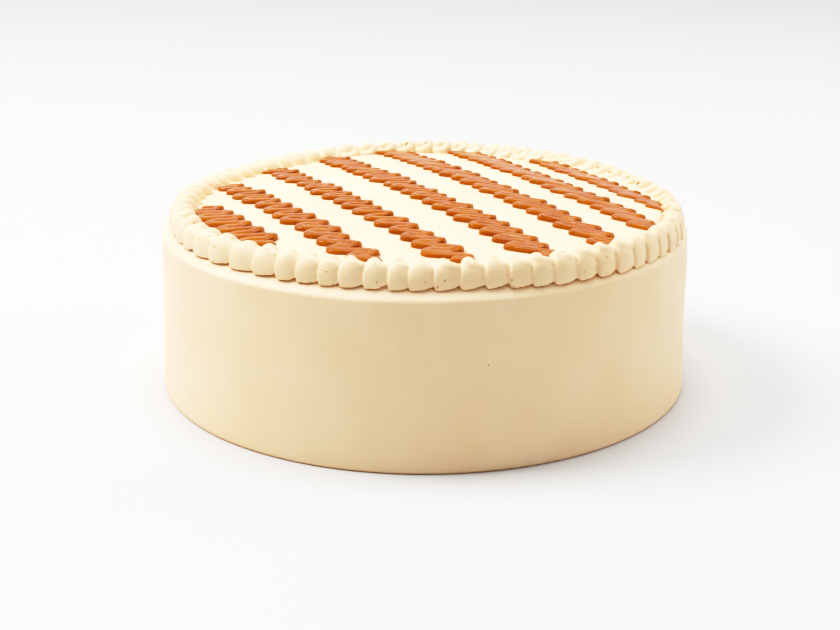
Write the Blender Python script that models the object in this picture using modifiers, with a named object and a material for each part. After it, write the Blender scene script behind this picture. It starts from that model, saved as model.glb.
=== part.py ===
"""A dulce de leche layer cake: iced body, piped border and seven piped caramel stripes.

Metres, +Z up. The origin is the centre of the flat base, and the front of the cake faces -Y.
"""
import math
import random

import bpy
from mathutils import Vector

# Iced body
TOP_RADIUS = 0.1100          # wall radius just under the rounded shoulder
BASE_RADIUS = 0.1126         # the wall spreads a little towards the base
BASE_EDGE_RADIUS = 0.0012
CROWN_HEIGHT = 0.0783        # middle of the slightly domed top
CROWN_DROP = 0.0044          # how far the dome falls over one top radius
SHOULDER_WIDTH = 0.0110      # the rounded shoulder, across and down
SHOULDER_DEPTH = 0.0143
BODY_SEGMENTS = 60
DOME_RINGS = 3
SHOULDER_STEPS = 6

# Piped border: one strand laid in overlapping loops
LOOPS = 70
LOOP_SEED = 11
LOOP_UNEVENNESS = 0.13       # random share of a loop's width
LOOP_SPREAD = 0.14           # loops are wider on the left and tighter on the right
LEAST_FULLNESS = 0.75        # how far the slackest loop's wall swells out of its creases
BORDER_RADIUS = 0.1013       # centre line of the border
BORDER_OFFSET = 0.0010       # the ring sits a little to the right of the middle
BORDER_HALF_WIDTH = 0.0060
BORDER_TOP = 0.0797
CREASE_DEPTH = 0.0013
ARCH_HEIGHT = 0.0016
LOOP_DROP = 0.0006           # loops differ in height by this much
LOOP_LEAN = 0.55             # share of a loop by which its inner side runs ahead
# sections of a loop: how far along it, how full its wall is, how high its arch is
LOOP_STAGES = [(0.0, 0.0, 0.35), (0.12, 0.8, 0.8), (0.38, 1.0, 1.0), (0.66, 0.85, 0.45), (0.92, 0.45, 0.0)]
# the border's cross-section, from the outer foot over the top to the underside: share of the
# half width out from the centre line, share of the height, share of the lean
BORDER_SECTION = [
    (0.92, 0.0, 0.0),
    (1.0, 0.45, 0.0),
    (0.7, 0.86, 0.1),
    (0.13, 1.0, 0.45),
    (-0.77, 0.72, 0.8),
    (-1.0, 0.35, 1.0),
    (-0.57, 0.0, 0.9),
    (0.13, 0.0, 0.5),
    (0.57, 0.0, 0.25),
]

# Caramel stripes: a flat strand laid in slanting zigzags
STRIPES = 7
STRIPE_PITCH = 0.0322
STRIPE_BUNCHING = 0.0165     # outer stripes lie closer, by this share for each step squared
STRIPE_SHIFT = -0.0016
STRIPE_HEADING = -61.5       # degrees from +X, towards the front right
STRIPE_FAN = -0.7            # degrees more for each stripe to the right
STROKE_HEADING = -18.0       # degrees from +X of the strokes of the middle stripe
STROKE_FAN = -5.0
STROKE_LENGTH = 0.0062       # mean straight part of a stroke
PERIOD_BACK = 0.0072         # step of the zigzag at the back and at the front of the top
PERIOD_FRONT = 0.0112
STRAND_HEIGHT = 0.0022
STRAND_FILL = 0.88           # strand width as a share of the room between strokes
STRIPE_LIMIT = 0.0938        # the strokes stop at this radius, short of the border
SHORTEST_STROKE = 0.0012
# corners of the strand's section, as shares of its width and height
STRAND_SECTION = [(-0.5, 0.0), (0.5, 0.0), (0.36, 1.0), (-0.36, 1.0)]

CLEARANCE = 0.0003           # gap between pieces that touch
SLOPE_CLEARANCE = 0.0002     # more for flat undersides on the sloping top

ICING_COLOUR = (0.86, 0.70, 0.49, 1.0)
BORDER_COLOUR = (0.90, 0.76, 0.56, 1.0)
CARAMEL_COLOUR = (0.52, 0.14, 0.02, 1.0)
ICING_ROUGHNESS = 0.55
BORDER_ROUGHNESS = 0.5
CARAMEL_ROUGHNESS = 0.25


def clear_scene():
    for item in list(bpy.data.objects):
        bpy.data.objects.remove(item, do_unlink=True)


def new_collection(name):
    collection = bpy.data.collections.new(name)
    bpy.context.scene.collection.children.link(collection)
    return collection


def new_material(name, colour, roughness):
    material = bpy.data.materials.new(name)
    material.use_nodes = True
    shader = material.node_tree.nodes["Principled BSDF"]
    shader.inputs["Base Color"].default_value = colour
    shader.inputs["Roughness"].default_value = roughness
    shader.inputs["Metallic"].default_value = 0.0
    return material


def link_object(name, data, collection, material):
    item = bpy.data.objects.new(name, data)
    collection.objects.link(item)
    data.materials.append(material)
    return item


def top_height(radius):
    """Height of the iced top at a distance from the axis, over the shoulder too."""
    crown = CROWN_HEIGHT - CROWN_DROP * (radius / TOP_RADIUS) ** 2
    start = TOP_RADIUS - SHOULDER_WIDTH
    if radius <= start:
        return crown
    across = min((radius - start) / SHOULDER_WIDTH, 1.0)
    edge = CROWN_HEIGHT - CROWN_DROP * (start / TOP_RADIUS) ** 2
    return edge - SHOULDER_DEPTH * (1.0 - math.sqrt(1.0 - across ** 2))


def body_profile():
    """Half outline of the body, from the middle of the top down to the middle of the base."""
    start = TOP_RADIUS - SHOULDER_WIDTH
    points = []
    for ring in range(DOME_RINGS):
        radius = start * ring / DOME_RINGS
        points.append((radius, top_height(radius)))
    edge = top_height(start)
    for step in range(SHOULDER_STEPS + 1):
        turn = 0.5 * math.pi * step / SHOULDER_STEPS
        points.append((start + SHOULDER_WIDTH * math.sin(turn),
                       edge - SHOULDER_DEPTH * (1.0 - math.cos(turn))))
    points.append((BASE_RADIUS, BASE_EDGE_RADIUS))
    points.append((BASE_RADIUS - BASE_EDGE_RADIUS, 0.0))
    points.append((0.0, 0.0))
    return points


def make_body(collection):
    points = body_profile()
    mesh = bpy.data.meshes.new("cake_body")
    mesh.from_pydata([(r, 0.0, z) for r, z in points],
                     [(i, i + 1) for i in range(len(points) - 1)], [])
    body = link_object("cake_body", mesh, collection, new_material("icing", ICING_COLOUR, ICING_ROUGHNESS))
    screw = body.modifiers.new("turn", "SCREW")
    screw.steps = BODY_SEGMENTS
    screw.render_steps = BODY_SEGMENTS
    screw.use_merge_vertices = True
    screw.merge_threshold = 0.00001
    screw.use_smooth_shade = True
    return body


def loop_edges():
    """Angles where each loop of the border starts, anticlockwise from +X, with the closing angle."""
    chance = random.Random(LOOP_SEED)
    widths = []
    for loop in range(LOOPS):
        angle = 2.0 * math.pi * loop / LOOPS
        width = 1.0 - LOOP_SPREAD * math.cos(angle)
        widths.append(width * (1.0 + LOOP_UNEVENNESS * chance.uniform(-1.0, 1.0)))
    scale = 2.0 * math.pi / sum(widths)
    edges = [0.0]
    for width in widths:
        edges.append(edges[-1] + width * scale)
    return edges


def make_border(collection):
    """A closed ring lofted through the sections of all the loops."""
    chance = random.Random(LOOP_SEED + 1)
    edges = loop_edges()
    vertices = []
    for loop in range(LOOPS):
        width = edges[loop + 1] - edges[loop]
        fullness = chance.uniform(LEAST_FULLNESS, 1.0)
        top = BORDER_TOP - chance.uniform(0.0, LOOP_DROP)
        for share, bulge, arch in LOOP_STAGES:
            crest = top - ARCH_HEIGHT * (1.0 - arch)
            half_width = BORDER_HALF_WIDTH - CREASE_DEPTH * (1.0 - bulge * fullness)
            for out, rise, lean in BORDER_SECTION:
                radius = BORDER_RADIUS + out * half_width
                angle = edges[loop] + width * (share + LOOP_LEAN * lean)
                x = BORDER_OFFSET + radius * math.cos(angle)
                y = radius * math.sin(angle)
                floor = top_height(math.hypot(x, y)) + CLEARANCE + SLOPE_CLEARANCE
                vertices.append((x, y, floor + rise * (crest - floor)))
    count = len(BORDER_SECTION)
    rows = len(vertices) // count
    faces = []
    for row in range(rows):
        after = (row + 1) % rows
        for point in range(count):
            beside = (point + 1) % count
            faces.append((row * count + point, after * count + point,
                          after * count + beside, row * count + beside))
    mesh = bpy.data.meshes.new("piped_border")
    mesh.from_pydata(vertices, [], faces)
    mesh.shade_smooth()
    buttercream = new_material("buttercream", BORDER_COLOUR, BORDER_ROUGHNESS)
    return link_object("piped_border", mesh, collection, buttercream)


def stripe_frame(step):
    """Middle of a stripe, its heading, and its strokes' direction; step counts from the middle stripe."""
    heading = math.radians(STRIPE_HEADING + STRIPE_FAN * step)
    stroke = math.radians(STROKE_HEADING + STROKE_FAN * step)
    offset = STRIPE_SHIFT + STRIPE_PITCH * step * (1.0 - STRIPE_BUNCHING * step ** 2)
    middle = Vector((-offset * math.sin(heading), offset * math.cos(heading)))
    ahead = Vector((math.cos(heading), math.sin(heading)))
    along = Vector((math.cos(stroke), math.sin(stroke)))
    return middle, ahead, along


def stripe_turns(step):
    """The zigzag's turns as (along, across, spacing, side), in the strokes' own two directions."""
    middle, ahead, along = stripe_frame(step)
    across = Vector((along.y, -along.x))
    turns = []
    travel = -STRIPE_LIMIT
    side = 1.0
    while travel < STRIPE_LIMIT:
        centre = middle + travel * ahead
        forward = min(max(0.5 * (1.0 - centre.y / STRIPE_LIMIT), 0.0), 1.0)
        period = PERIOD_BACK + (PERIOD_FRONT - PERIOD_BACK) * forward
        spacing = 0.5 * period * ahead.dot(across)
        room = (STRIPE_LIMIT - spacing) ** 2 - centre.dot(across) ** 2
        travel += 0.5 * period
        if room > 0.0:
            reach = math.sqrt(room)
            aim = centre.dot(along) + 0.5 * STROKE_LENGTH * side
            end = min(max(aim, -reach), reach)
            turn = (end, centre.dot(across), spacing, side)
            inside = abs(end - aim) < STROKE_LENGTH
            if inside and (not turns or side * (end - turns[-1][0]) >= SHORTEST_STROKE):
                turns.append(turn)
            elif travel < 0.0:
                turns = [turn] if inside else []
            else:
                break
        side = -side
    return turns


def stripe_path(step):
    """Points of the zigzag strand, each with the strand's width there."""
    along = stripe_frame(step)[2]
    across = Vector((along.y, -along.x))
    turns = stripe_turns(step)
    path = []
    for index, (end, level, spacing, side) in enumerate(turns):
        width = STRAND_FILL * spacing
        if index > 0:
            entry = 0.5 * (turns[index - 1][1] + level)
            path.append((end * along + entry * across, width))
        if 0 < index < len(turns) - 1:
            path.append(((end + 0.5 * spacing * side) * along + level * across, width))
        if index < len(turns) - 1:
            leave = 0.5 * (level + turns[index + 1][1])
            path.append((end * along + leave * across, width))
    return path


def make_stripe(step, collection, material):
    """One zigzag of caramel: a flat-topped strand swept along its path on the domed top."""
    path = stripe_path(step)
    vertices = []
    for index, (point, width) in enumerate(path):
        before = path[max(index - 1, 0)][0]
        after = path[min(index + 1, len(path) - 1)][0]
        tangent = ((point - before).normalized() + (after - point).normalized()).normalized()
        side = Vector((tangent.y, -tangent.x))
        for share, rise in STRAND_SECTION:
            place = point + side * (share * width)
            floor = top_height(place.length) + CLEARANCE
            vertices.append((place.x, place.y, floor + rise * STRAND_HEIGHT))
    corners = len(STRAND_SECTION)
    faces = [tuple(range(corners)),
             tuple(reversed(range(len(vertices) - corners, len(vertices))))]
    for row in range(len(path) - 1):
        for corner in range(corners):
            beside = (corner + 1) % corners
            low = row * corners
            faces.append((low + beside, low + corner, low + corners + corner, low + corners + beside))
    name = f"caramel_stripe_{step + STRIPES // 2 + 1}"
    mesh = bpy.data.meshes.new(name)
    mesh.from_pydata(vertices, [], faces)
    return link_object(name, mesh, collection, material)


clear_scene()
parts = new_collection("dulce_de_leche_cake")
make_body(parts)
make_border(parts)
caramel = new_material("caramel", CARAMEL_COLOUR, CARAMEL_ROUGHNESS)
for stripe_step in range(-(STRIPES // 2), STRIPES // 2 + 1):
    make_stripe(stripe_step, parts, caramel)
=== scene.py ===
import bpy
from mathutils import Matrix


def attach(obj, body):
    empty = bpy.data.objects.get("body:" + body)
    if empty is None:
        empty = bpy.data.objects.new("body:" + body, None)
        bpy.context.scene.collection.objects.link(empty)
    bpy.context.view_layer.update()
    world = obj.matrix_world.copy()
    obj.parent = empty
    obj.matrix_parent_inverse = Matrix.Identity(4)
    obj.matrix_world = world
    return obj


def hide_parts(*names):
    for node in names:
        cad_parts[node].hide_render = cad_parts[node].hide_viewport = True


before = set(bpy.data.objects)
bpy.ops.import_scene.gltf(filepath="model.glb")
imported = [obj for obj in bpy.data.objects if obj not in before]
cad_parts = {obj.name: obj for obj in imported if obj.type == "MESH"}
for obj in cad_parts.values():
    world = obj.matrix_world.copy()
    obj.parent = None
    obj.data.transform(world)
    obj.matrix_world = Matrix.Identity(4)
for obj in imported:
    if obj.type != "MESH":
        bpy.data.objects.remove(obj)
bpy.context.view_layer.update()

# Looks of a dulce de leche layer cake: iced body, looped buttercream border, caramel stripes.
# Metres, +Z up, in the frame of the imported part. The front of the cake faces -Y.

import math
import random

import bpy
import numpy as np
from mathutils import Vector, noise

# Iced body
TOP_RADIUS = 0.1100
BASE_RADIUS = 0.1125
BASE_EDGE_RADIUS = 0.0012
BASE_EDGE_TURNS = (0.35, 0.7, 1.0)       # shares of the quarter turn round the base's edge
UNDERSIDE_SHARES = (0.7, 0.4, 0.1)       # the underside's rings, as shares of the base's radius
CROWN_HEIGHT = 0.0783
CROWN_DROP = 0.0044
SHOULDER_WIDTH = 0.0110      # the sloping ledge round the top
SHOULDER_DEPTH = 0.0087
SHOULDER_BEND = 0.9          # 1 is a straight slope, less is flatter towards the edge
EDGE_ROUNDING = 0.0012
EDGE_SHARES = (0.2, 0.4, 0.6, 0.8, 1.0)
BODY_SEGMENTS = 400
TOP_RINGS = 26
SHOULDER_RINGS = 16
WALL_RINGS = 44
RIGHT_BULGE = 0.0011         # the wall's upper right stands out by this much
BULGE_START = 0.025          # height where the bulge starts
BULGE_CLIMB = 0.03           # how much higher it is full
# Unevenness of a surface, as noise scale, noise seed and depth
ICING_WAVES = (22.0, 3.0, 0.00035)
WALL_BANDS = (1.0, 8.0, 0.00010)
LIP_WAVES = (60.0, 5.0, 0.00035)
BAND_STRETCH = (7.0, 7.0, 95.0)          # noise scale of the wall's level bands along each axis
BAND_TOP = 0.072             # height where the bands end
BAND_FADE = 0.010            # how far below it they start to fade
LIP_HEIGHT = 0.0655          # height of the ledge's uneven edge
LIP_SPREAD = 0.0035
STILL_HEIGHT = 0.004         # the unevenness fades out from here down to the base

# Piped border
LOOPS = 70
LOOP_SEED = 11
LOOP_UNEVENNESS = 0.09
LOOP_STEPS = 4               # points of the strand between two stations
LOOP_WIDTH = 0.0093          # mean width, where the stations' half widths hold
BORDER_RADIUS = 0.104        # where the loops' widths are measured
BORDER_SEED = 23
WALL_SEED = 31
# The ring at angles from +X: inner edge's radius, outer wall's radius, how much the top is raised,
# width of a loop, and how plump its inner side is
BORDER_RING = (
    (-180, 0.0934, 0.1068, -0.0005, 0.0100, 1.0),
    (-160, 0.0960, 0.1070, 0.0000, 0.0100, 0.8),
    (-140, 0.0960, 0.1071, 0.0000, 0.0128, 0.3),
    (-120, 0.0960, 0.1069, 0.0000, 0.0092, 0.0),
    (-100, 0.0965, 0.1069, 0.0000, 0.0082, 0.0),
    (-80, 0.0970, 0.1071, 0.0000, 0.0086, 0.0),
    (-60, 0.0984, 0.1082, 0.0000, 0.0100, 0.0),
    (-40, 0.1008, 0.1094, -0.0002, 0.0094, 0.0),
    (-20, 0.1010, 0.1101, -0.0005, 0.0084, 0.1),
    (0, 0.0985, 0.1086, -0.0008, 0.0076, 0.2),
    (20, 0.0945, 0.1060, -0.0012, 0.0082, 0.3),
    (45, 0.0915, 0.1066, 0.0000, 0.0106, 0.2),
    (65, 0.0925, 0.1076, 0.0005, 0.0082, 0.1),
    (90, 0.0965, 0.1080, 0.0010, 0.0092, 0.1),
    (110, 0.0955, 0.1078, 0.0002, 0.0106, 0.4),
    (130, 0.0885, 0.1075, -0.0007, 0.0100, 1.0),
    (150, 0.0875, 0.1070, -0.0013, 0.0100, 1.0),
    (165, 0.0905, 0.1068, -0.0010, 0.0100, 1.0),
)
# Stations of the strand in one loop: share of the loop's width, reach from the inner edge (-1)
# to the outer (1), height of the top, half width
LOOP_STATIONS = (
    (0.27, -0.15, 0.0796, 0.0032),
    (0.20, 0.45, 0.0796, 0.0031),
    (0.21, 0.88, 0.0793, 0.0029),
    (0.32, 1.01, 0.0790, 0.0026),
    (0.49, 1.00, 0.0787, 0.0025),
    (0.69, 0.88, 0.0780, 0.0024),
    (0.89, 0.62, 0.0773, 0.0023),
    (1.10, 0.30, 0.0768, 0.0022),
    (1.32, -0.06, 0.0766, 0.0022),
    (1.54, -0.44, 0.0765, 0.0022),
    (1.74, -0.80, 0.0765, 0.0022),
    (1.62, -1.02, 0.0765, 0.0021),
    (1.38, -0.98, 0.0773, 0.0023),
    (1.23, -0.64, 0.0788, 0.0028),
)
# How much chance changes a loop's size, height and thickness, and a station's place, reach and height
LOOP_SIZE_SWAY = 0.10
LOOP_LIFT_SWAY = 0.0004
LOOP_GIRTH_SWAY = 0.08
STATION_PLACE_SWAY = 0.04
STATION_REACH_SWAY = 0.06
STATION_TOP_SWAY = 0.0002
FULL_HALF_SPAN = 0.0049      # half the ring's radial width where the half widths hold
HIGHEST_TOP = 0.0804         # nothing stands higher
INNER_RISE = 0.0008          # how much higher the inner side of a fully plump loop is
INNER_GIRTH = 0.12           # how much thicker it is, as a share
PLUMP_REACH = 0.9            # only the strand's points inside this reach are plump
STRAND_SINK = 0.0016         # how much lower the strand lies in a fully plump loop, beside its mound
STRAND_BACK = 0.0014         # the strand keeps this far inside the outer walls
UNDERCUT = 0.0010            # how far its outer side draws in at its foot
FLARE_IN = 0.0004            # and how far its inner side spreads inwards there
FLARE_BEND = 0.6
GAP_REACH = 0.5              # reach from which the gap under the strand is full
STRAND_CAP_POINTS = 13       # points of the rounded top of the strand's section
CAP_HEIGHT = 1.3             # height of that top, in half widths
CAP_SHARE = 0.8              # and at most this share of the strand's height
# The section below it: how far across, in half widths, and how far down to the foot
STRAND_SKIRT = ((-1.04, 0.45), (-0.96, 0.9), (-0.6, 1.0), (0.6, 1.0), (0.96, 0.9), (1.04, 0.45))

# Outer wall of one loop: share of the loop's width, how far it stands back, height of its top
PILLOW_WALL = (
    (-0.13, 0.0015, 0.0750),
    (-0.115, 0.0006, 0.0766),
    (-0.06, 0.0001, 0.0777),
    (0.06, 0.0000, 0.0784),
    (0.22, 0.0000, 0.0788),
    (0.40, 0.0001, 0.0788),
    (0.58, 0.0004, 0.0783),
    (0.77, 0.0009, 0.0775),
    (0.97, 0.0016, 0.0765),
)
# Its cross-section: share of the height, how far back, and 1 where it hangs free of the icing
PILLOW_SECTION = (
    (0.00, 0.0050, 0.0),
    (0.00, 0.0022, 0.0),
    (0.00, 0.0016, 1.0),
    (0.00, 0.0005, 1.0),
    (0.06, 0.0001, 1.0),
    (0.24, 0.0000, 1.0),
    (0.48, 0.0002, 1.0),
    (0.69, 0.0008, 1.0),
    (0.84, 0.0016, 1.0),
    (0.95, 0.0026, 1.0),
    (1.00, 0.0034, 1.0),
    (0.93, 0.0047, 1.0),
)
PILLOW_STEPS = 3             # points of the wall between two of its rows
PILLOW_TOP_SWAY = 0.0003
PILLOW_BACK_RANGE = (0.8, 1.3)
PILLOW_BACK_SWAY = 0.0002
LEAN = 0.045                 # how far the left edge bows out, as a share of the loop's width
LEAN_RANGE = (0.4, 1.4)
LEAN_SHARE = 0.4             # share of the width where the bow has faded out
WALL_GAP = 0.0006            # room under an outer wall's left corner
WALL_GAP_GAIN = 0.0006       # how much more there is at its right end
WALL_GAP_RANGE = (0.2, 1.6)
WALL_GAP_LIMITS = (0.0002, 0.0020)
TEETH = ((900.0, 3.0, 1.0), (2300.0, 8.0, 0.6))      # noise scale, noise seed and share of each
TEETH_DEPTH = 0.0005         # unevenness of the walls' feet

# Buttercream under the loops
FILL_SEGMENTS = 700
FILL_POINTS = 12
FILL_HEIGHT = 0.0768
FILL_GAIN = 0.0006           # how much higher it is under a fully plump loop
FILL_LEAST = 0.001           # and it always stands this high over the icing
FILL_INWARD = 0.0002         # its middle lies this far inside the ring's
FILL_INSET = 0.0022          # its edges keep this far inside the ring's

# Round mound inside each loop, at the back and the left only
MOUND_SEED = 47
MOUND_ANGLES = (38.0, 208.0)
MOUND_PLACE = 0.55           # its middle, as a share of the loop's width
MOUND_PLACE_SWAY = 0.06
MOUND_SIZES = (0.92, 1.06)
MOUND_TOP = 0.0790
MOUND_TOP_GAIN = 0.0018      # how much higher it is in a fully plump loop
MOUND_TOP_SWAY = 0.0003
MOUND_ROOT = 0.0004          # how much deeper than other pieces it goes into the icing
MOUND_DEPTH = 0.0032         # half its radial size
MOUND_DEPTH_GAIN = 0.0034
MOUND_LIMIT = 0.42           # and at most this share of the ring's radial width
MOUND_SHARE = 0.48           # half its size along the ring, as a share of the loop's width
MOUND_BACK = 0.0020          # how far behind the inner edge it stands where nothing is plump
MOUND_ROUNDING = 0.8         # 1 is a half round, less has a fuller shoulder
MOUND_COLUMNS = 28
MOUND_RINGS = 8

# Fused skin of the border
BORDER_VOXEL = 0.00031
BORDER_KEEP = 0.26           # share of the fused mesh's faces that is kept
LOOP_LUMPS = (170.0, 2.0, 0.00014)
LOOP_GRAIN = (480.0, 6.0, 0.00005)
SKIN_SOFTNESS = 0.5

# Caramel stripes from left to right: distance from the middle, heading of the strokes in degrees,
# length of the strokes
STRIPES = (
    (-0.0876, -5.0, 0.0080),
    (-0.0627, -6.0, 0.0066),
    (-0.0337, -12.0, 0.0080),
    (-0.0016, -20.0, 0.0118),
    (0.0306, -28.0, 0.0142),
    (0.0595, -33.0, 0.0162),
    (0.0825, -38.0, 0.0122),
)
MIDDLE_STRIPE = 4            # number of the stripe in the middle, counted from 1
STRIPE_HEADING = -61.5
STRIPE_FAN = -0.7            # change of heading from one stripe to the next
PERIOD_BACK = 0.0072
PERIOD_FRONT = 0.0112
PERIOD_SWAY = 0.12
STROKE_SWAY = 0.0011
STRIPE_LIMIT = 0.1030        # where a stripe's travel starts and ends, at most
STRIPE_TUCK = 0.0030         # how far its ends go under the border
SHORTEST_STROKE = 0.0025
CARAMEL_SEED = 5
CARAMEL_HEIGHT = 0.0020
CARAMEL_LIFT_SWAY = 0.0003
CARAMEL_SHARE = 0.52         # half width of the strand, as a share of the strokes' spacing
THINNEST_HALF = 0.0016       # and at least this
GIRTH_RANGE = (0.92, 1.06)
LOBE_LIFT = 0.0005           # the turns at the right are higher by this much
LOBE_GIRTH = 1.10            # and every turn is thicker than the strokes
TIP_LEAST = 0.04             # where the rounding of a strand's tips starts, in half widths
CARAMEL_STEPS = 7            # points of the strand between two of its path
CARAMEL_POINTS = 15          # points of its section's upper side
SECTION_BEND = (0.6, 0.5)    # 1 is a half round, less is flatter on top, across and up
SECTION_UNDERSIDE = ((-0.7, -0.15), (0.7, -0.15))
TUCK_START = 0.0006          # this far inside the border's edge the strand starts to thin out
TUCK_LENGTH = 0.0024
TUCK_DROP = 0.85             # and it loses this share of its height
CARAMEL_VOXEL = 0.00027
CARAMEL_KEEP = 0.5
CARAMEL_WAVES = (260.0, 1.0, 0.00008)

SINK = 0.0002                # pieces on the icing press into it by this much

# Materials
ICING_LIGHT = (0.90, 0.65, 0.40, 1.0)
ICING_DEEP = (0.88, 0.61, 0.355, 1.0)
# painted shade colour inside the air pits
PIT_SHADE_COLOUR = (0.66, 0.30, 0.06, 1.0)
# painted shade colour of the creases and the gaps under the loops
CREASE_SHADE_COLOUR = (0.62, 0.25, 0.03, 1.0)
PIPED_LIGHT = (0.91, 0.645, 0.38, 1.0)
PIPED_DEEP = (0.89, 0.605, 0.34, 1.0)
CARAMEL_LIGHT = (0.36, 0.092, 0.001, 1.0)
CARAMEL_DEEP = (0.30, 0.066, 0.001, 1.0)
FLOOR_LIGHT = (0.64, 0.64, 0.635, 1.0)
FLOOR_DEEP = (0.62, 0.62, 0.615, 1.0)
FLOOR_SIZE = 12.0
# Air pits: scale of the cells, largest radius, share of the cells that have one
ICING_PITS = (260.0, 0.14, 0.05)
PIPED_PITS = (450.0, 0.26, 0.45)
PIT_RIM = 0.5                # how far down a pit its painted shade is full
PIT_STRENGTH = 0.75
PIT_DEPTH = 0.0005
# Noise patterns: scale, detail and, for the grain, roughness
CREAM_CLOUDS = (35.0, 4.0)
CREAM_GRAIN = (1100.0, 2.0, 0.6)
CARAMEL_CLOUDS = (160.0, 3.0)
CARAMEL_RIPPLES = (420.0, 2.0)
FLOOR_CLOUDS = (3.0, 2.0)
CLOUD_RANGE = (0.35, 0.65)   # noise levels of the light and the deep colour
GRAIN_DEPTH = 0.00006
RIPPLE_DEPTH = 0.00008
CREASE_REACH = 0.0020
CREASE_RANGE = (0.80, 0.12)  # open share of the surroundings where the creases' painted shade starts and is full
CREASE_SHADE_STRENGTH = 0.9
CREASE_SAMPLES = 8

# Light
FRONT_GLOW = 0.15
BACK_GLOW = 1.6
TOP_GLOW = 0.72
GLOW_DEPTH = (-0.2, 0.8)     # where the glow passes from the front's to the back's, along Y
GLOW_CLIMB = (0.1, 0.8)      # and where it passes to the top's, along Z
WHITE = (1.0, 1.0, 1.0)
LAMP_TARGET = (0.0, 0.0, 0.05)
# Lamps: name, place, size, power, colour
LAMPS = (
    ("softbox", (0.0, 0.20, 1.60), 0.7, 22.0, WHITE),
    ("key", (-1.60, 0.24, 1.90), 1.2, 90.0, (1.0, 0.99, 0.975)),
    ("fill", (1.40, 0.40, 0.60), 1.0, 11.5, (1.0, 0.99, 0.98)),
)
TONE_TOE = 0.033
TONE_KNEE = 0.5
TONE_BEND = 1.3
TONE_WHITE = 1.95            # scene light that shows as white
TONE_STEPS = (0.03, 0.08, 0.2, 0.35, 0.5, 0.65, 0.85, 1.1, 1.4, 1.7)
COMBINED_CURVE = 3           # index of the curve that changes all three channels

# Camera
CAMERA_PLACE = (-0.00162, -0.58803, 0.22292)
CAMERA_PITCH = 0.3261        # radians below the horizon
CAMERA_SENSOR = 36.0
CAMERA_LENS = 60.96


def top_height(radius):
    """Height of the iced top at distances from the axis, over the shoulder too."""
    radius = np.asarray(radius, float)
    start = TOP_RADIUS - SHOULDER_WIDTH
    crown = CROWN_HEIGHT - CROWN_DROP * (np.minimum(radius, start) / TOP_RADIUS) ** 2
    across = np.clip((radius - start) / SHOULDER_WIDTH, 0.0, 1.0)
    return crown - SHOULDER_DEPTH * across ** SHOULDER_BEND


def smooth_step(value):
    value = np.clip(value, 0.0, 1.0)
    return value * value * (3.0 - 2.0 * value)


def smooth_curve(points, steps):
    """Points on the Catmull-Rom curve through a row of points."""
    first = 2.0 * points[:1] - points[1:2]
    last = 2.0 * points[-1:] - points[-2:-1]
    padded = np.concatenate([first, points, last])
    rows = []
    for index in range(1, len(padded) - 2):
        before, start, end, after = padded[index - 1:index + 3]
        bend = 2.0 * before - 5.0 * start + 4.0 * end - after
        twist = 3.0 * start - before - 3.0 * end + after
        for step in range(steps):
            share = step / steps
            rows.append(0.5 * (2.0 * start + (end - before) * share + bend * share ** 2
                               + twist * share ** 3))
    rows.append(points[-1])
    return np.array(rows)


def sway(chance, most):
    """A random amount from -most to most."""
    return most * chance.uniform(-1.0, 1.0)


def waves(points, pattern, seed_shift=0.0):
    """Unevenness at each point, for a pattern of noise scale, noise seed and depth."""
    scale, seed, depth = pattern
    seed = seed + seed_shift
    shift = Vector((seed, 2.7 * seed, -1.3 * seed))
    return depth * np.array([noise.noise(Vector(point) * scale + shift) for point in points])


def ring_points(radius, angle, height=0.0):
    """Points at distances from the axis, angles round it and heights."""
    level = np.broadcast_to(height, np.shape(angle))
    return np.column_stack([radius * np.cos(angle), radius * np.sin(angle), level])


def sideways(tangent):
    """Unit vectors at the right of directions in plan."""
    tangent = tangent / np.linalg.norm(tangent, axis=1, keepdims=True)
    return np.stack([tangent[:, 1], -tangent[:, 0]], 1)


def add_object(name, data):
    item = bpy.data.objects.new(name, data)
    bpy.context.scene.collection.objects.link(item)
    return item


def mesh_object(name, vertices, faces):
    mesh = bpy.data.meshes.new(name)
    mesh.from_pydata([tuple(vertex) for vertex in vertices], [], faces)
    mesh.update()
    return add_object(name, mesh)


def grid_faces(rows, columns, first=0, closed_rows=True):
    """Quads of a grid whose columns close into rings, and whose rows may close too."""
    faces = []
    for row in range(rows if closed_rows else rows - 1):
        after = (row + 1) % rows
        for column in range(columns):
            beside = (column + 1) % columns
            faces.append((first + row * columns + column, first + after * columns + column,
                          first + after * columns + beside, first + row * columns + beside))
    return faces


def tubes_object(name, tubes):
    """One object from rows of closed sections; a tube is (sections, whether its ends meet)."""
    vertices = []
    faces = []
    first = 0
    for sections, closed in tubes:
        rows, columns = sections.shape[:2]
        vertices.append(sections.reshape(-1, 3))
        faces += grid_faces(rows, columns, first, closed)
        if not closed:
            last = first + (rows - 1) * columns
            faces.append(tuple(reversed(range(first, first + columns))))
            faces.append(tuple(range(last, last + columns)))
        first += rows * columns
    return mesh_object(name, np.concatenate(vertices), faces)


def fuse(item, voxel, keep):
    """Melts the mesh's overlapping surfaces into one skin, and keeps a share of its faces."""
    remesh = item.modifiers.new("fuse", "REMESH")
    remesh.mode = "VOXEL"
    remesh.voxel_size = voxel
    soften = item.modifiers.new("soften", "SMOOTH")
    soften.factor = SKIN_SOFTNESS
    soften.iterations = 1
    thin = item.modifiers.new("thin", "DECIMATE")
    thin.ratio = keep
    graph = bpy.context.evaluated_depsgraph_get()
    fused = bpy.data.meshes.new_from_object(item.evaluated_get(graph))
    item.modifiers.clear()
    item.data = fused


def vertex_places(item):
    places = np.zeros(3 * len(item.data.vertices))
    item.data.vertices.foreach_get("co", places)
    return places.reshape(-1, 3)


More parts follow.
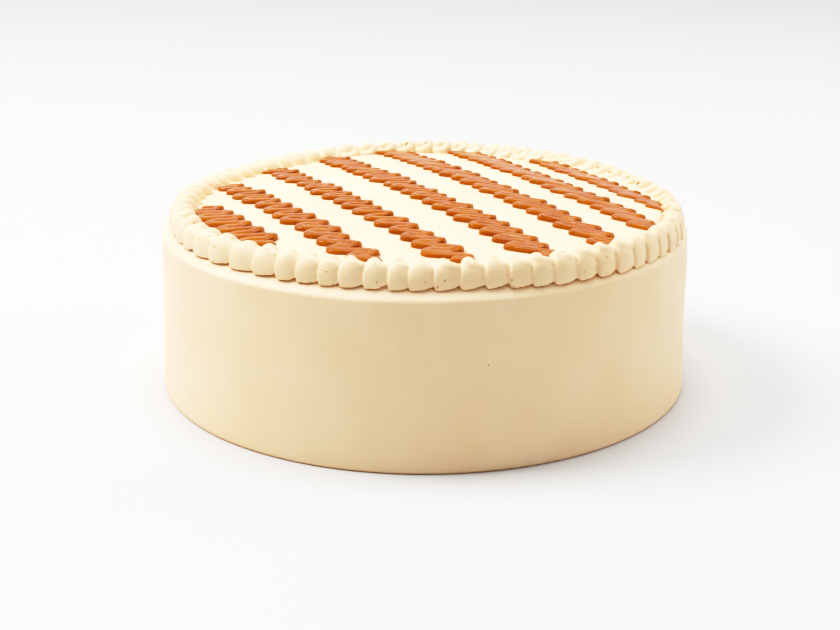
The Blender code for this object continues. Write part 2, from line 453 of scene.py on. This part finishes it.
def move_along_normals(item, distances):
    mesh = item.data
    normals = np.zeros(3 * len(mesh.vertices))
    mesh.vertices.foreach_get("normal", normals)
    moved = vertex_places(item) + normals.reshape(-1, 3) * distances[:, None]
    mesh.vertices.foreach_set("co", moved.ravel())
    mesh.update()


def body_profile():
    """Outline of the body as (radius, height), from the top's middle round to the underside's."""
    start = TOP_RADIUS - SHOULDER_WIDTH
    points = []
    for ring in range(TOP_RINGS):
        radius = start * (ring + 0.5) / TOP_RINGS
        points.append((radius, float(top_height(radius))))
    for ring in range(SHOULDER_RINGS):
        radius = start + (SHOULDER_WIDTH - EDGE_ROUNDING) * ring / (SHOULDER_RINGS - 1)
        points.append((radius, float(top_height(radius))))
    edge_height = float(top_height(TOP_RADIUS))
    wall_top = edge_height - EDGE_ROUNDING
    inner_radius, inner_height = points[-1]
    for share in EDGE_SHARES:
        before, between, after = (1.0 - share) ** 2, 2.0 * share * (1.0 - share), share ** 2
        points.append((before * inner_radius + (between + after) * TOP_RADIUS,
                       before * inner_height + between * edge_height + after * wall_top))
    for ring in range(1, WALL_RINGS + 1):
        share = ring / WALL_RINGS
        points.append((TOP_RADIUS + (BASE_RADIUS - TOP_RADIUS) * share,
                       wall_top + (BASE_EDGE_RADIUS - wall_top) * share))
    for turn in BASE_EDGE_TURNS:
        angle = 0.5 * math.pi * turn
        points.append((BASE_RADIUS - BASE_EDGE_RADIUS * (1.0 - math.cos(angle)),
                       BASE_EDGE_RADIUS * (1.0 - math.sin(angle))))
    for share in UNDERSIDE_SHARES:
        points.append((BASE_RADIUS * share, 0.0))
    return points


def make_body():
    profile = body_profile()
    angles = 2.0 * math.pi * np.arange(BODY_SEGMENTS) / BODY_SEGMENTS
    rings = [ring_points(radius, angles, height) for radius, height in profile]
    middles = np.array([[0.0, 0.0, CROWN_HEIGHT], [0.0, 0.0, 0.0]])
    vertices = np.concatenate(rings + [middles])
    faces = grid_faces(len(profile), BODY_SEGMENTS, closed_rows=False)
    top = len(profile) * BODY_SEGMENTS
    last = top - BODY_SEGMENTS
    faces += [(top, column, (column + 1) % BODY_SEGMENTS) for column in range(BODY_SEGMENTS)]
    faces += [(top + 1, last + (column + 1) % BODY_SEGMENTS, last + column)
              for column in range(BODY_SEGMENTS)]
    body = mesh_object("iced_body", vertices, faces)
    move_along_normals(body, body_unevenness(vertices))
    body.data.shade_smooth()
    return body


def body_unevenness(vertices):
    """How far each of the body's vertices moves out."""
    height = vertices[:, 2]
    free = smooth_step(height / STILL_HEIGHT)
    near_lip = np.exp(-((height - LIP_HEIGHT) / LIP_SPREAD) ** 2)
    wall = smooth_step((BAND_TOP - height) / BAND_FADE)
    lift = waves(vertices, ICING_WAVES) * free
    lift = lift + waves(vertices * np.array(BAND_STRETCH), WALL_BANDS) * wall * free
    lift = lift + waves(vertices, LIP_WAVES) * near_lip
    facing = np.clip(vertices[:, 0] / TOP_RADIUS, 0.0, 1.0)
    return lift + RIGHT_BULGE * facing ** 3 * smooth_step((height - BULGE_START) / BULGE_CLIMB)


def ring_values(angles):
    """Inner radius, outer radius, rise, loop width and plumpness of the border at angles in radians."""
    table = np.array(BORDER_RING)
    turns = np.radians(np.concatenate([table[:, 0], [table[0, 0] + 360.0]]))
    rows = np.concatenate([table[:, 1:], table[:1, 1:]])
    wrapped = (np.asarray(angles) - turns[0]) % (2.0 * math.pi) + turns[0]
    index = np.clip(np.searchsorted(turns, wrapped, "right") - 1, 0, len(table) - 1)
    share = smooth_step((wrapped - turns[index]) / (turns[index + 1] - turns[index]))[:, None]
    return (rows[index] * (1.0 - share) + rows[index + 1] * share).T


def loop_edges():
    """Angles where each loop of the border starts, anticlockwise from -X, with the closing angle."""
    chance = random.Random(LOOP_SEED)
    edges = [-math.pi]
    for _ in range(LOOPS):
        width = ring_values([edges[-1]])[3][0] / BORDER_RADIUS
        edges.append(edges[-1] + width * (1.0 + sway(chance, LOOP_UNEVENNESS)))
    scale = 2.0 * math.pi / (edges[-1] - edges[0])
    return edges[0] + scale * (np.array(edges) - edges[0])


def border_path():
    """Points of the strand as (angle, reach, top height, half width)."""
    chance = random.Random(BORDER_SEED)
    edges = loop_edges()
    widths = np.diff(edges)
    points = []
    for loop in range(LOOPS):
        size = 1.0 + sway(chance, LOOP_SIZE_SWAY)
        lift = sway(chance, LOOP_LIFT_SWAY)
        thick = 1.0 + sway(chance, LOOP_GIRTH_SWAY)
        thick *= math.sqrt(widths[loop] * BORDER_RADIUS / LOOP_WIDTH)
        for share, reach, top, half in LOOP_STATIONS:
            share += sway(chance, STATION_PLACE_SWAY)
            whole = int(share)
            laps, owner = divmod(loop + whole, LOOPS)
            angle = edges[owner] + widths[owner] * (share - whole) + 2.0 * math.pi * laps
            reach = reach * size + sway(chance, STATION_REACH_SWAY)
            height = top + lift + sway(chance, STATION_TOP_SWAY)
            points.append((angle, reach, height, half * thick))
    points = np.array(points)
    full = np.array([2.0 * math.pi, 0.0, 0.0, 0.0])
    wrapped = np.concatenate([points[-1:] - full, points, points[:2] + full])
    curve = smooth_curve(wrapped, LOOP_STEPS)
    return curve[LOOP_STEPS:LOOP_STEPS * (len(points) + 1)]


def border_strand():
    """Vertices of the strand's tube: the ring of loops, section by section."""
    angle, reach, top, half = border_path().T
    inner, outer, rise, _, plump = ring_values(angle)
    outer = outer - STRAND_BACK
    half_span = 0.5 * (outer - inner)
    rise = rise - STRAND_SINK * plump
    plump = plump * smooth_step(PLUMP_REACH - reach)
    half = half * np.sqrt(half_span / FULL_HALF_SPAN) * (1.0 + INNER_GIRTH * plump)
    radius = 0.5 * (outer + inner) + reach * (half_span - half)
    top = np.minimum(top + rise + INNER_RISE * plump, HIGHEST_TOP)
    centre = ring_points(radius, angle)[:, :2]
    side = sideways(np.roll(centre, -1, 0) - np.roll(centre, 1, 0))
    out = np.clip(reach, -1.0, 1.0)
    gap = (WALL_GAP + WALL_GAP_GAIN) * smooth_step(out / GAP_REACH)
    section = [(math.cos(turn), math.sin(turn), 0.0)
               for turn in np.linspace(0.0, math.pi, STRAND_CAP_POINTS)]
    section += [(across, 0.0, depth) for across, depth in STRAND_SKIRT]
    rows = []
    for across, up, depth in section:
        plan = centre + side * (across * half)[:, None]
        away = plan / np.linalg.norm(plan, axis=1, keepdims=True)
        undercut = UNDERCUT * depth ** 2 * np.clip(out, 0.0, 1.0)
        flare = FLARE_IN * depth ** FLARE_BEND * np.clip(-out, 0.0, 1.0)
        plan = plan + away * (-undercut - flare)[:, None]
        reached = np.minimum(np.linalg.norm(plan, axis=1), TOP_RADIUS)
        foot = top_height(reached) - SINK + gap * max(across, 0.0)
        cap = np.minimum(CAP_HEIGHT * half, CAP_SHARE * (top - foot))
        height = top - cap + cap * up
        if depth > 0.0:
            height = top - cap + (foot - top + cap) * depth
        rows.append(np.column_stack([plan, height]))
    return np.stack(rows, 1)


def fill_ring():
    """Vertices of the low ring of buttercream inside the loops."""
    angle = 2.0 * math.pi * np.arange(FILL_SEGMENTS) / FILL_SEGMENTS
    inner, outer, rise, _, plump = ring_values(angle)
    middle = 0.5 * (inner + outer) - FILL_INWARD
    half_span = 0.5 * (outer - inner) - FILL_INSET
    rows = []
    for point in range(FILL_POINTS):
        turn = 2.0 * math.pi * point / FILL_POINTS
        radius = middle + half_span * math.cos(turn)
        foot = top_height(radius) - SINK
        top = np.maximum(FILL_HEIGHT + rise + FILL_GAIN * plump, foot + FILL_LEAST)
        height = foot + (top - foot) * max(math.sin(turn), 0.0)
        rows.append(ring_points(radius, angle, height))
    return np.stack(rows, 1)


def wall_teeth(angles):
    """Fine unevenness of the outer walls' feet at angles round the border."""
    teeth = []
    for place in BORDER_RADIUS * angles:
        teeth.append(sum(share * noise.noise(Vector((scale * place, seed, 0.0)))
                         for scale, seed, share in TEETH))
    return np.array(teeth)


def pillow_wall(start, width, chance):
    """Vertices of one loop's outer wall, from its crisp left edge to where the next loop covers it."""
    share, back, top = smooth_curve(np.array(PILLOW_WALL), PILLOW_STEPS).T
    top = top + sway(chance, PILLOW_TOP_SWAY)
    back = back * chance.uniform(*PILLOW_BACK_RANGE) - sway(chance, PILLOW_BACK_SWAY)
    lean = LEAN * chance.uniform(*LEAN_RANGE) * (1.0 - smooth_step(share / LEAN_SHARE))
    gap_gain = WALL_GAP_GAIN * chance.uniform(*WALL_GAP_RANGE) * np.clip(share, 0.0, 1.0)
    rows = []
    for height, depth, free in PILLOW_SECTION:
        angle = start + width * (share - 4.0 * height * (1.0 - height) * lean)
        outer, rise = ring_values(angle)[1:3]
        radius = outer - back - depth
        gap = np.clip(WALL_GAP + gap_gain + TEETH_DEPTH * wall_teeth(angle), *WALL_GAP_LIMITS)
        foot = top_height(np.minimum(radius, TOP_RADIUS)) - SINK
        edge = foot + gap * free * (1.0 - height)
        rows.append(ring_points(radius, angle, edge + (top + rise - foot) * height))
    return np.stack(rows, 1)


def inner_mound(start, width, chance):
    """Vertices of the round mound inside one loop, in level rings from its foot up."""
    middle = start + width * (MOUND_PLACE + sway(chance, MOUND_PLACE_SWAY))
    size = chance.uniform(*MOUND_SIZES)
    inner, outer, rise, _, plump = ring_values([middle])[:, 0]
    depth = min(MOUND_DEPTH + MOUND_DEPTH_GAIN * plump, MOUND_LIMIT * (outer - inner)) * size
    along = MOUND_SHARE * width * size
    centre = inner + MOUND_BACK * (1.0 - plump) + depth
    top = MOUND_TOP + MOUND_TOP_GAIN * plump + rise + sway(chance, MOUND_TOP_SWAY)
    foot = float(top_height(centre)) - SINK - MOUND_ROOT
    turns = np.linspace(0.0, 2.0 * math.pi, MOUND_COLUMNS, endpoint=False)
    rows = []
    for climb in np.linspace(0.0, 0.5 * math.pi, MOUND_RINGS + 1)[:-1]:
        spread = math.cos(climb) ** MOUND_ROUNDING
        radius = centre + depth * spread * np.cos(turns)
        angle = middle + along * spread * np.sin(turns)
        height = foot + (min(top, HIGHEST_TOP) - foot) * math.sin(climb)
        rows.append(ring_points(radius, angle, height))
    return np.stack(rows)


def make_border():
    wall_chance = random.Random(WALL_SEED)
    mound_chance = random.Random(MOUND_SEED)
    edges = loop_edges()
    tubes = [(border_strand(), True), (fill_ring(), True)]
    for start, width in zip(edges[:-1], np.diff(edges)):
        tubes.append((pillow_wall(start, width, wall_chance), False))
        if MOUND_ANGLES[0] < math.degrees(start) % 360.0 < MOUND_ANGLES[1]:
            tubes.append((inner_mound(start, width, mound_chance), False))
    border = tubes_object("piped_loops", tubes)
    fuse(border, BORDER_VOXEL, BORDER_KEEP)
    places = vertex_places(border)
    move_along_normals(border, waves(places, LOOP_LUMPS) + waves(places, LOOP_GRAIN))
    border.data.shade_smooth()
    return border


def stripe_frame(number):
    """Middle of a stripe, its heading, its strokes' direction and their length."""
    offset, stroke_heading, length = STRIPES[number - 1]
    heading = math.radians(STRIPE_HEADING + STRIPE_FAN * (number - MIDDLE_STRIPE))
    stroke = math.radians(stroke_heading)
    middle = Vector((-offset * math.sin(heading), offset * math.cos(heading)))
    ahead = Vector((math.cos(heading), math.sin(heading)))
    along = Vector((math.cos(stroke), math.sin(stroke)))
    return middle, ahead, along, length


def stripe_turns(number, chance):
    """The zigzag's turns as (along, across, spacing, side), in the strokes' own two directions."""
    middle, ahead, along, length = stripe_frame(number)
    across = Vector((along.y, -along.x))
    turns = []
    travel = -STRIPE_LIMIT
    side = 1.0
    while travel < STRIPE_LIMIT:
        centre = middle + travel * ahead
        forward = min(max(0.5 * (1.0 - centre.y / STRIPE_LIMIT), 0.0), 1.0)
        period = PERIOD_BACK + (PERIOD_FRONT - PERIOD_BACK) * forward
        period *= 1.0 + sway(chance, PERIOD_SWAY)
        spacing = 0.5 * period * ahead.dot(across)
        edge = ring_values([math.atan2(centre.y, centre.x)])[0][0] + STRIPE_TUCK
        room = (edge - spacing) ** 2 - centre.dot(across) ** 2
        travel += 0.5 * period
        stretch = chance.uniform(-STROKE_SWAY, STROKE_SWAY)
        if room > 0.0:
            reach = math.sqrt(room)
            aim = centre.dot(along) + (0.5 * length + stretch) * side
            end = min(max(aim, -reach), reach)
            turn = (end, centre.dot(across), spacing, side)
            inside = abs(end - aim) < length
            free = end == aim
            if inside and (free or not turns or side * (end - turns[-1][0]) >= SHORTEST_STROKE):
                turns.append(turn)
            elif travel < 0.0:
                turns = [turn] if inside else []
            else:
                break
        side = -side
    return turns


def stripe_path(number, chance):
    """Points of the zigzag strand as (x, y, half width, lift)."""
    along = stripe_frame(number)[2]
    across = Vector((along.y, -along.x))
    turns = stripe_turns(number, chance)
    path = []
    for index, (end, level, spacing, side) in enumerate(turns):
        half = max(CARAMEL_SHARE * spacing, THINNEST_HALF) * chance.uniform(*GIRTH_RANGE)
        lift = sway(chance, CARAMEL_LIFT_SWAY)
        if index > 0:
            entry = 0.5 * (turns[index - 1][1] + level)
            path.append((end * along + entry * across, half, lift))
        if 0 < index < len(turns) - 1:
            place = (end + 0.5 * spacing * side) * along + level * across
            path.append((place, half * LOBE_GIRTH, lift + (LOBE_LIFT if side > 0.0 else 0.0)))
        if index < len(turns) - 1:
            leave = 0.5 * (level + turns[index + 1][1])
            path.append((end * along + leave * across, half, lift))
    return np.array([(place.x, place.y, half, lift) for place, half, lift in path])


def make_stripe(number):
    step = number - MIDDLE_STRIPE
    path = smooth_curve(stripe_path(number, random.Random(CARAMEL_SEED + step)), CARAMEL_STEPS)
    centre = path[:, :2]
    half = path[:, 2]
    travel = np.concatenate([[0.0], np.cumsum(np.linalg.norm(np.diff(centre, axis=0), axis=1))])
    rounding = np.clip(np.minimum(travel, travel[-1] - travel) / half, TIP_LEAST, 1.0)
    taper = np.sqrt(1.0 - (1.0 - rounding) ** 2)
    side = sideways(np.gradient(centre, axis=0))
    section = []
    for turn in np.linspace(0.0, math.pi, CARAMEL_POINTS):
        across = math.copysign(abs(math.cos(turn)) ** SECTION_BEND[0], math.cos(turn))
        section.append((across, math.sin(turn) ** SECTION_BEND[1]))
    section += SECTION_UNDERSIDE
    rows = []
    for across, up in section:
        plan = centre + side * (across * half * taper)[:, None]
        radius = np.linalg.norm(plan, axis=1)
        inner = ring_values(np.arctan2(plan[:, 1], plan[:, 0]))[0]
        foot = top_height(radius) - SINK
        height = np.minimum(CARAMEL_HEIGHT + path[:, 3], HIGHEST_TOP - foot) * taper
        height = height * (1.0 - TUCK_DROP * smooth_step((radius - inner - TUCK_START) / TUCK_LENGTH))
        rows.append(np.column_stack([plan, foot + height * up]))
    stripe = tubes_object(f"caramel_zigzag_{number}", [(np.stack(rows, 1), False)])
    fuse(stripe, CARAMEL_VOXEL, CARAMEL_KEEP)
    move_along_normals(stripe, waves(vertex_places(stripe), CARAMEL_WAVES, step))
    stripe.data.shade_smooth()
    return stripe


def feed(tree, socket, value):
    """Links another node's socket to this one, or gives it a plain value."""
    if isinstance(value, bpy.types.NodeSocket):
        tree.links.new(value, socket)
    else:
        socket.default_value = value


class Nodes:
    """Short calls that build a material's node tree."""

    def __init__(self, name):
        self.material = bpy.data.materials.new(name)
        self.material.use_nodes = True
        self.tree = self.material.node_tree
        self.shader = self.tree.nodes["Principled BSDF"]
        self.place = self.tree.nodes.new("ShaderNodeTexCoord").outputs["Object"]

    def set_inputs(self, node, inputs):
        for key, value in inputs.items():
            feed(self.tree, node.inputs[key.replace("_", " ")], value)

    def add(self, kind, settings=None, **inputs):
        node = self.tree.nodes.new(kind)
        for key, value in (settings or {}).items():
            setattr(node, key, value)
        self.set_inputs(node, inputs)
        return node

    def noise(self, scale, detail, roughness=0.5):
        node = self.add("ShaderNodeTexNoise", Scale=scale, Detail=detail, Roughness=roughness,
                        Vector=self.place)
        return node.outputs["Fac"]

    def math(self, operation, first, second, clamp=False):
        node = self.add("ShaderNodeMath", {"operation": operation, "use_clamp": clamp})
        for socket, value in zip(node.inputs, (first, second)):
            feed(self.tree, socket, value)
        return node.outputs[0]

    def ramp(self, value, low, high):
        """A value stretched so that low gives 0 and high gives 1."""
        node = self.add("ShaderNodeMapRange", {"clamp": True}, Value=value, From_Min=low,
                        From_Max=high)
        return node.outputs["Result"]

    def mix(self, share, first, second):
        """A colour between two others."""
        node = self.add("ShaderNodeMix", {"data_type": "RGBA"})
        for name, kind, value in (("Factor", "VALUE", share), ("A", "RGBA", first),
                                  ("B", "RGBA", second)):
            sockets = [socket for socket in node.inputs if socket.name == name and socket.type == kind]
            feed(self.tree, sockets[0], value)
        return [socket for socket in node.outputs if socket.type == "RGBA"][0]

    def bump(self, height, distance, normal=None):
        node = self.add("ShaderNodeBump", Height=height, Distance=distance, Strength=1.0)
        if normal is not None:
            feed(self.tree, node.inputs["Normal"], normal)
        return node.outputs["Normal"]

    def set(self, **values):
        self.set_inputs(self.shader, values)


def pits(nodes, scale, size, share):
    """1 in the small round holes that air bubbles leave, 0 between them."""
    cells = nodes.add("ShaderNodeTexVoronoi", {"feature": "F1"}, Scale=scale, Vector=nodes.place)
    pick = nodes.add("ShaderNodeSeparateColor", Color=cells.outputs["Color"])
    chosen = nodes.math("LESS_THAN", pick.outputs["Red"], share)
    radius = nodes.math("MULTIPLY", pick.outputs["Green"], size)
    outwards = nodes.math("DIVIDE", cells.outputs["Distance"], radius)
    inside = nodes.math("SUBTRACT", 1.0, outwards, clamp=True)
    return nodes.math("MULTIPLY", inside, chosen)


def buttercream(name, light, deep, pit_scale, pit_size, pit_share):
    nodes = Nodes(name)
    clouds = nodes.ramp(nodes.noise(*CREAM_CLOUDS), *CLOUD_RANGE)
    colour = nodes.mix(clouds, light, deep)
    # Painted shade: creases, hollows and the gaps under the loops turn dark orange-brown where little of
    # the surroundings is open.
    surroundings = nodes.add("ShaderNodeAmbientOcclusion", {"samples": CREASE_SAMPLES},
                             Distance=CREASE_REACH)
    closed = nodes.ramp(surroundings.outputs["AO"], *CREASE_RANGE)
    colour = nodes.mix(nodes.math("MULTIPLY", closed, CREASE_SHADE_STRENGTH), colour, CREASE_SHADE_COLOUR)
    hole = pits(nodes, pit_scale, pit_size, pit_share)
    # Painted shade: the air pits darken towards their middles with an orange-brown.
    pit_shade = nodes.math("MULTIPLY", nodes.ramp(hole, 0.0, PIT_RIM), PIT_STRENGTH)
    colour = nodes.mix(pit_shade, colour, PIT_SHADE_COLOUR)
    normal = nodes.bump(nodes.noise(*CREAM_GRAIN), GRAIN_DEPTH)
    normal = nodes.bump(nodes.math("SUBTRACT", 1.0, hole), PIT_DEPTH, normal)
    nodes.set(Base_Color=colour, Roughness=0.5, Normal=normal, Subsurface_Weight=0.15,
              Subsurface_Radius=(1.0, 0.50, 0.25), Subsurface_Scale=0.0016, IOR=1.4)
    return nodes.material


def caramel():
    nodes = Nodes("caramel")
    clouds = nodes.ramp(nodes.noise(*CARAMEL_CLOUDS), *CLOUD_RANGE)
    colour = nodes.mix(clouds, CARAMEL_LIGHT, CARAMEL_DEEP)
    normal = nodes.bump(nodes.noise(*CARAMEL_RIPPLES), RIPPLE_DEPTH)
    nodes.set(Base_Color=colour, Roughness=0.05, Normal=normal, Subsurface_Weight=0.15,
              Subsurface_Radius=(1.0, 0.20, 0.03), Subsurface_Scale=0.0010, IOR=1.22)
    return nodes.material


def dress(piece, node, material):
    piece.data.materials.clear()
    piece.data.materials.append(material)
    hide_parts(node)
    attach(piece, "root")


def make_floor():
    bpy.ops.mesh.primitive_plane_add(size=FLOOR_SIZE, location=(0.0, 0.0, 0.0))
    floor = bpy.context.object
    floor.name = "floor"
    nodes = Nodes("pale_floor")
    nodes.set(Base_Color=nodes.mix(nodes.noise(*FLOOR_CLOUDS), FLOOR_LIGHT, FLOOR_DEEP), Roughness=0.6)
    floor.data.materials.append(nodes.material)


def area_light(name, place, size, power, colour):
    data = bpy.data.lights.new(name, "AREA")
    data.shape = "DISK"
    data.size = size
    data.energy = power
    data.color = colour
    lamp = add_object(name, data)
    lamp.location = place
    lamp.rotation_euler = (Vector(LAMP_TARGET) - Vector(place)).to_track_quat("-Z", "Y").to_euler()


def blend_node(tree, value, passage, low, high):
    """A smooth passage from low to high while the value goes from its start to its end."""
    node = tree.nodes.new("ShaderNodeMapRange")
    node.interpolation_type = "SMOOTHSTEP"
    start, end = passage
    for key, amount in (("Value", value), ("From Min", start), ("From Max", end),
                        ("To Min", low), ("To Max", high)):
        feed(tree, node.inputs[key], amount)
    return node.outputs["Result"]


def make_lights():
    """Bright backdrop, dark room in front, softbox overhead, soft key at the left and fill at the right."""
    world = bpy.data.worlds.new("studio")
    bpy.context.scene.world = world
    world.use_nodes = True
    tree = world.node_tree
    background = tree.nodes["Background"]
    background.inputs["Color"].default_value = (*WHITE, 1.0)
    place = tree.nodes.new("ShaderNodeTexCoord")
    axes = tree.nodes.new("ShaderNodeSeparateXYZ")
    tree.links.new(place.outputs["Generated"], axes.inputs[0])
    level = blend_node(tree, axes.outputs["Y"], GLOW_DEPTH, FRONT_GLOW, BACK_GLOW)
    glow = blend_node(tree, axes.outputs["Z"], GLOW_CLIMB, level, TOP_GLOW)
    tree.links.new(glow, background.inputs["Strength"])
    for name, lamp_place, size, power, colour in LAMPS:
        area_light(name, lamp_place, size, power, colour)


def film_tone(light):
    """Picture light for scene light: deeper shadows, and highlights that bend over to white."""
    light = light * light / (light + TONE_TOE)
    above = max(light - TONE_KNEE, 0.0)
    return light - above + above / (1.0 + TONE_BEND * above)


def set_tones():
    view = bpy.context.scene.view_settings
    view.view_transform = "Standard"
    view.use_curve_mapping = True
    mapping = view.curve_mapping
    mapping.white_level = (TONE_WHITE, TONE_WHITE, TONE_WHITE)
    curve = mapping.curves[COMBINED_CURVE]
    for light in TONE_STEPS:
        curve.points.new(light / TONE_WHITE, film_tone(light))
    mapping.update()


def make_camera():
    data = bpy.data.cameras.new("camera")
    data.sensor_width = CAMERA_SENSOR
    data.lens = CAMERA_LENS
    camera = add_object("camera", data)
    camera.location = CAMERA_PLACE
    camera.rotation_euler = (0.5 * math.pi - CAMERA_PITCH, 0.0, 0.0)
    bpy.context.scene.camera = camera


icing = buttercream("icing", ICING_LIGHT, ICING_DEEP, *ICING_PITS)
piped = buttercream("buttercream", PIPED_LIGHT, PIPED_DEEP, *PIPED_PITS)
glaze = caramel()
dress(make_body(), "cake_body", icing)
dress(make_border(), "piped_border", piped)
for stripe in range(1, len(STRIPES) + 1):
    dress(make_stripe(stripe), f"caramel_stripe_{stripe}", glaze)
make_floor()
make_lights()
make_camera()
set_tones()
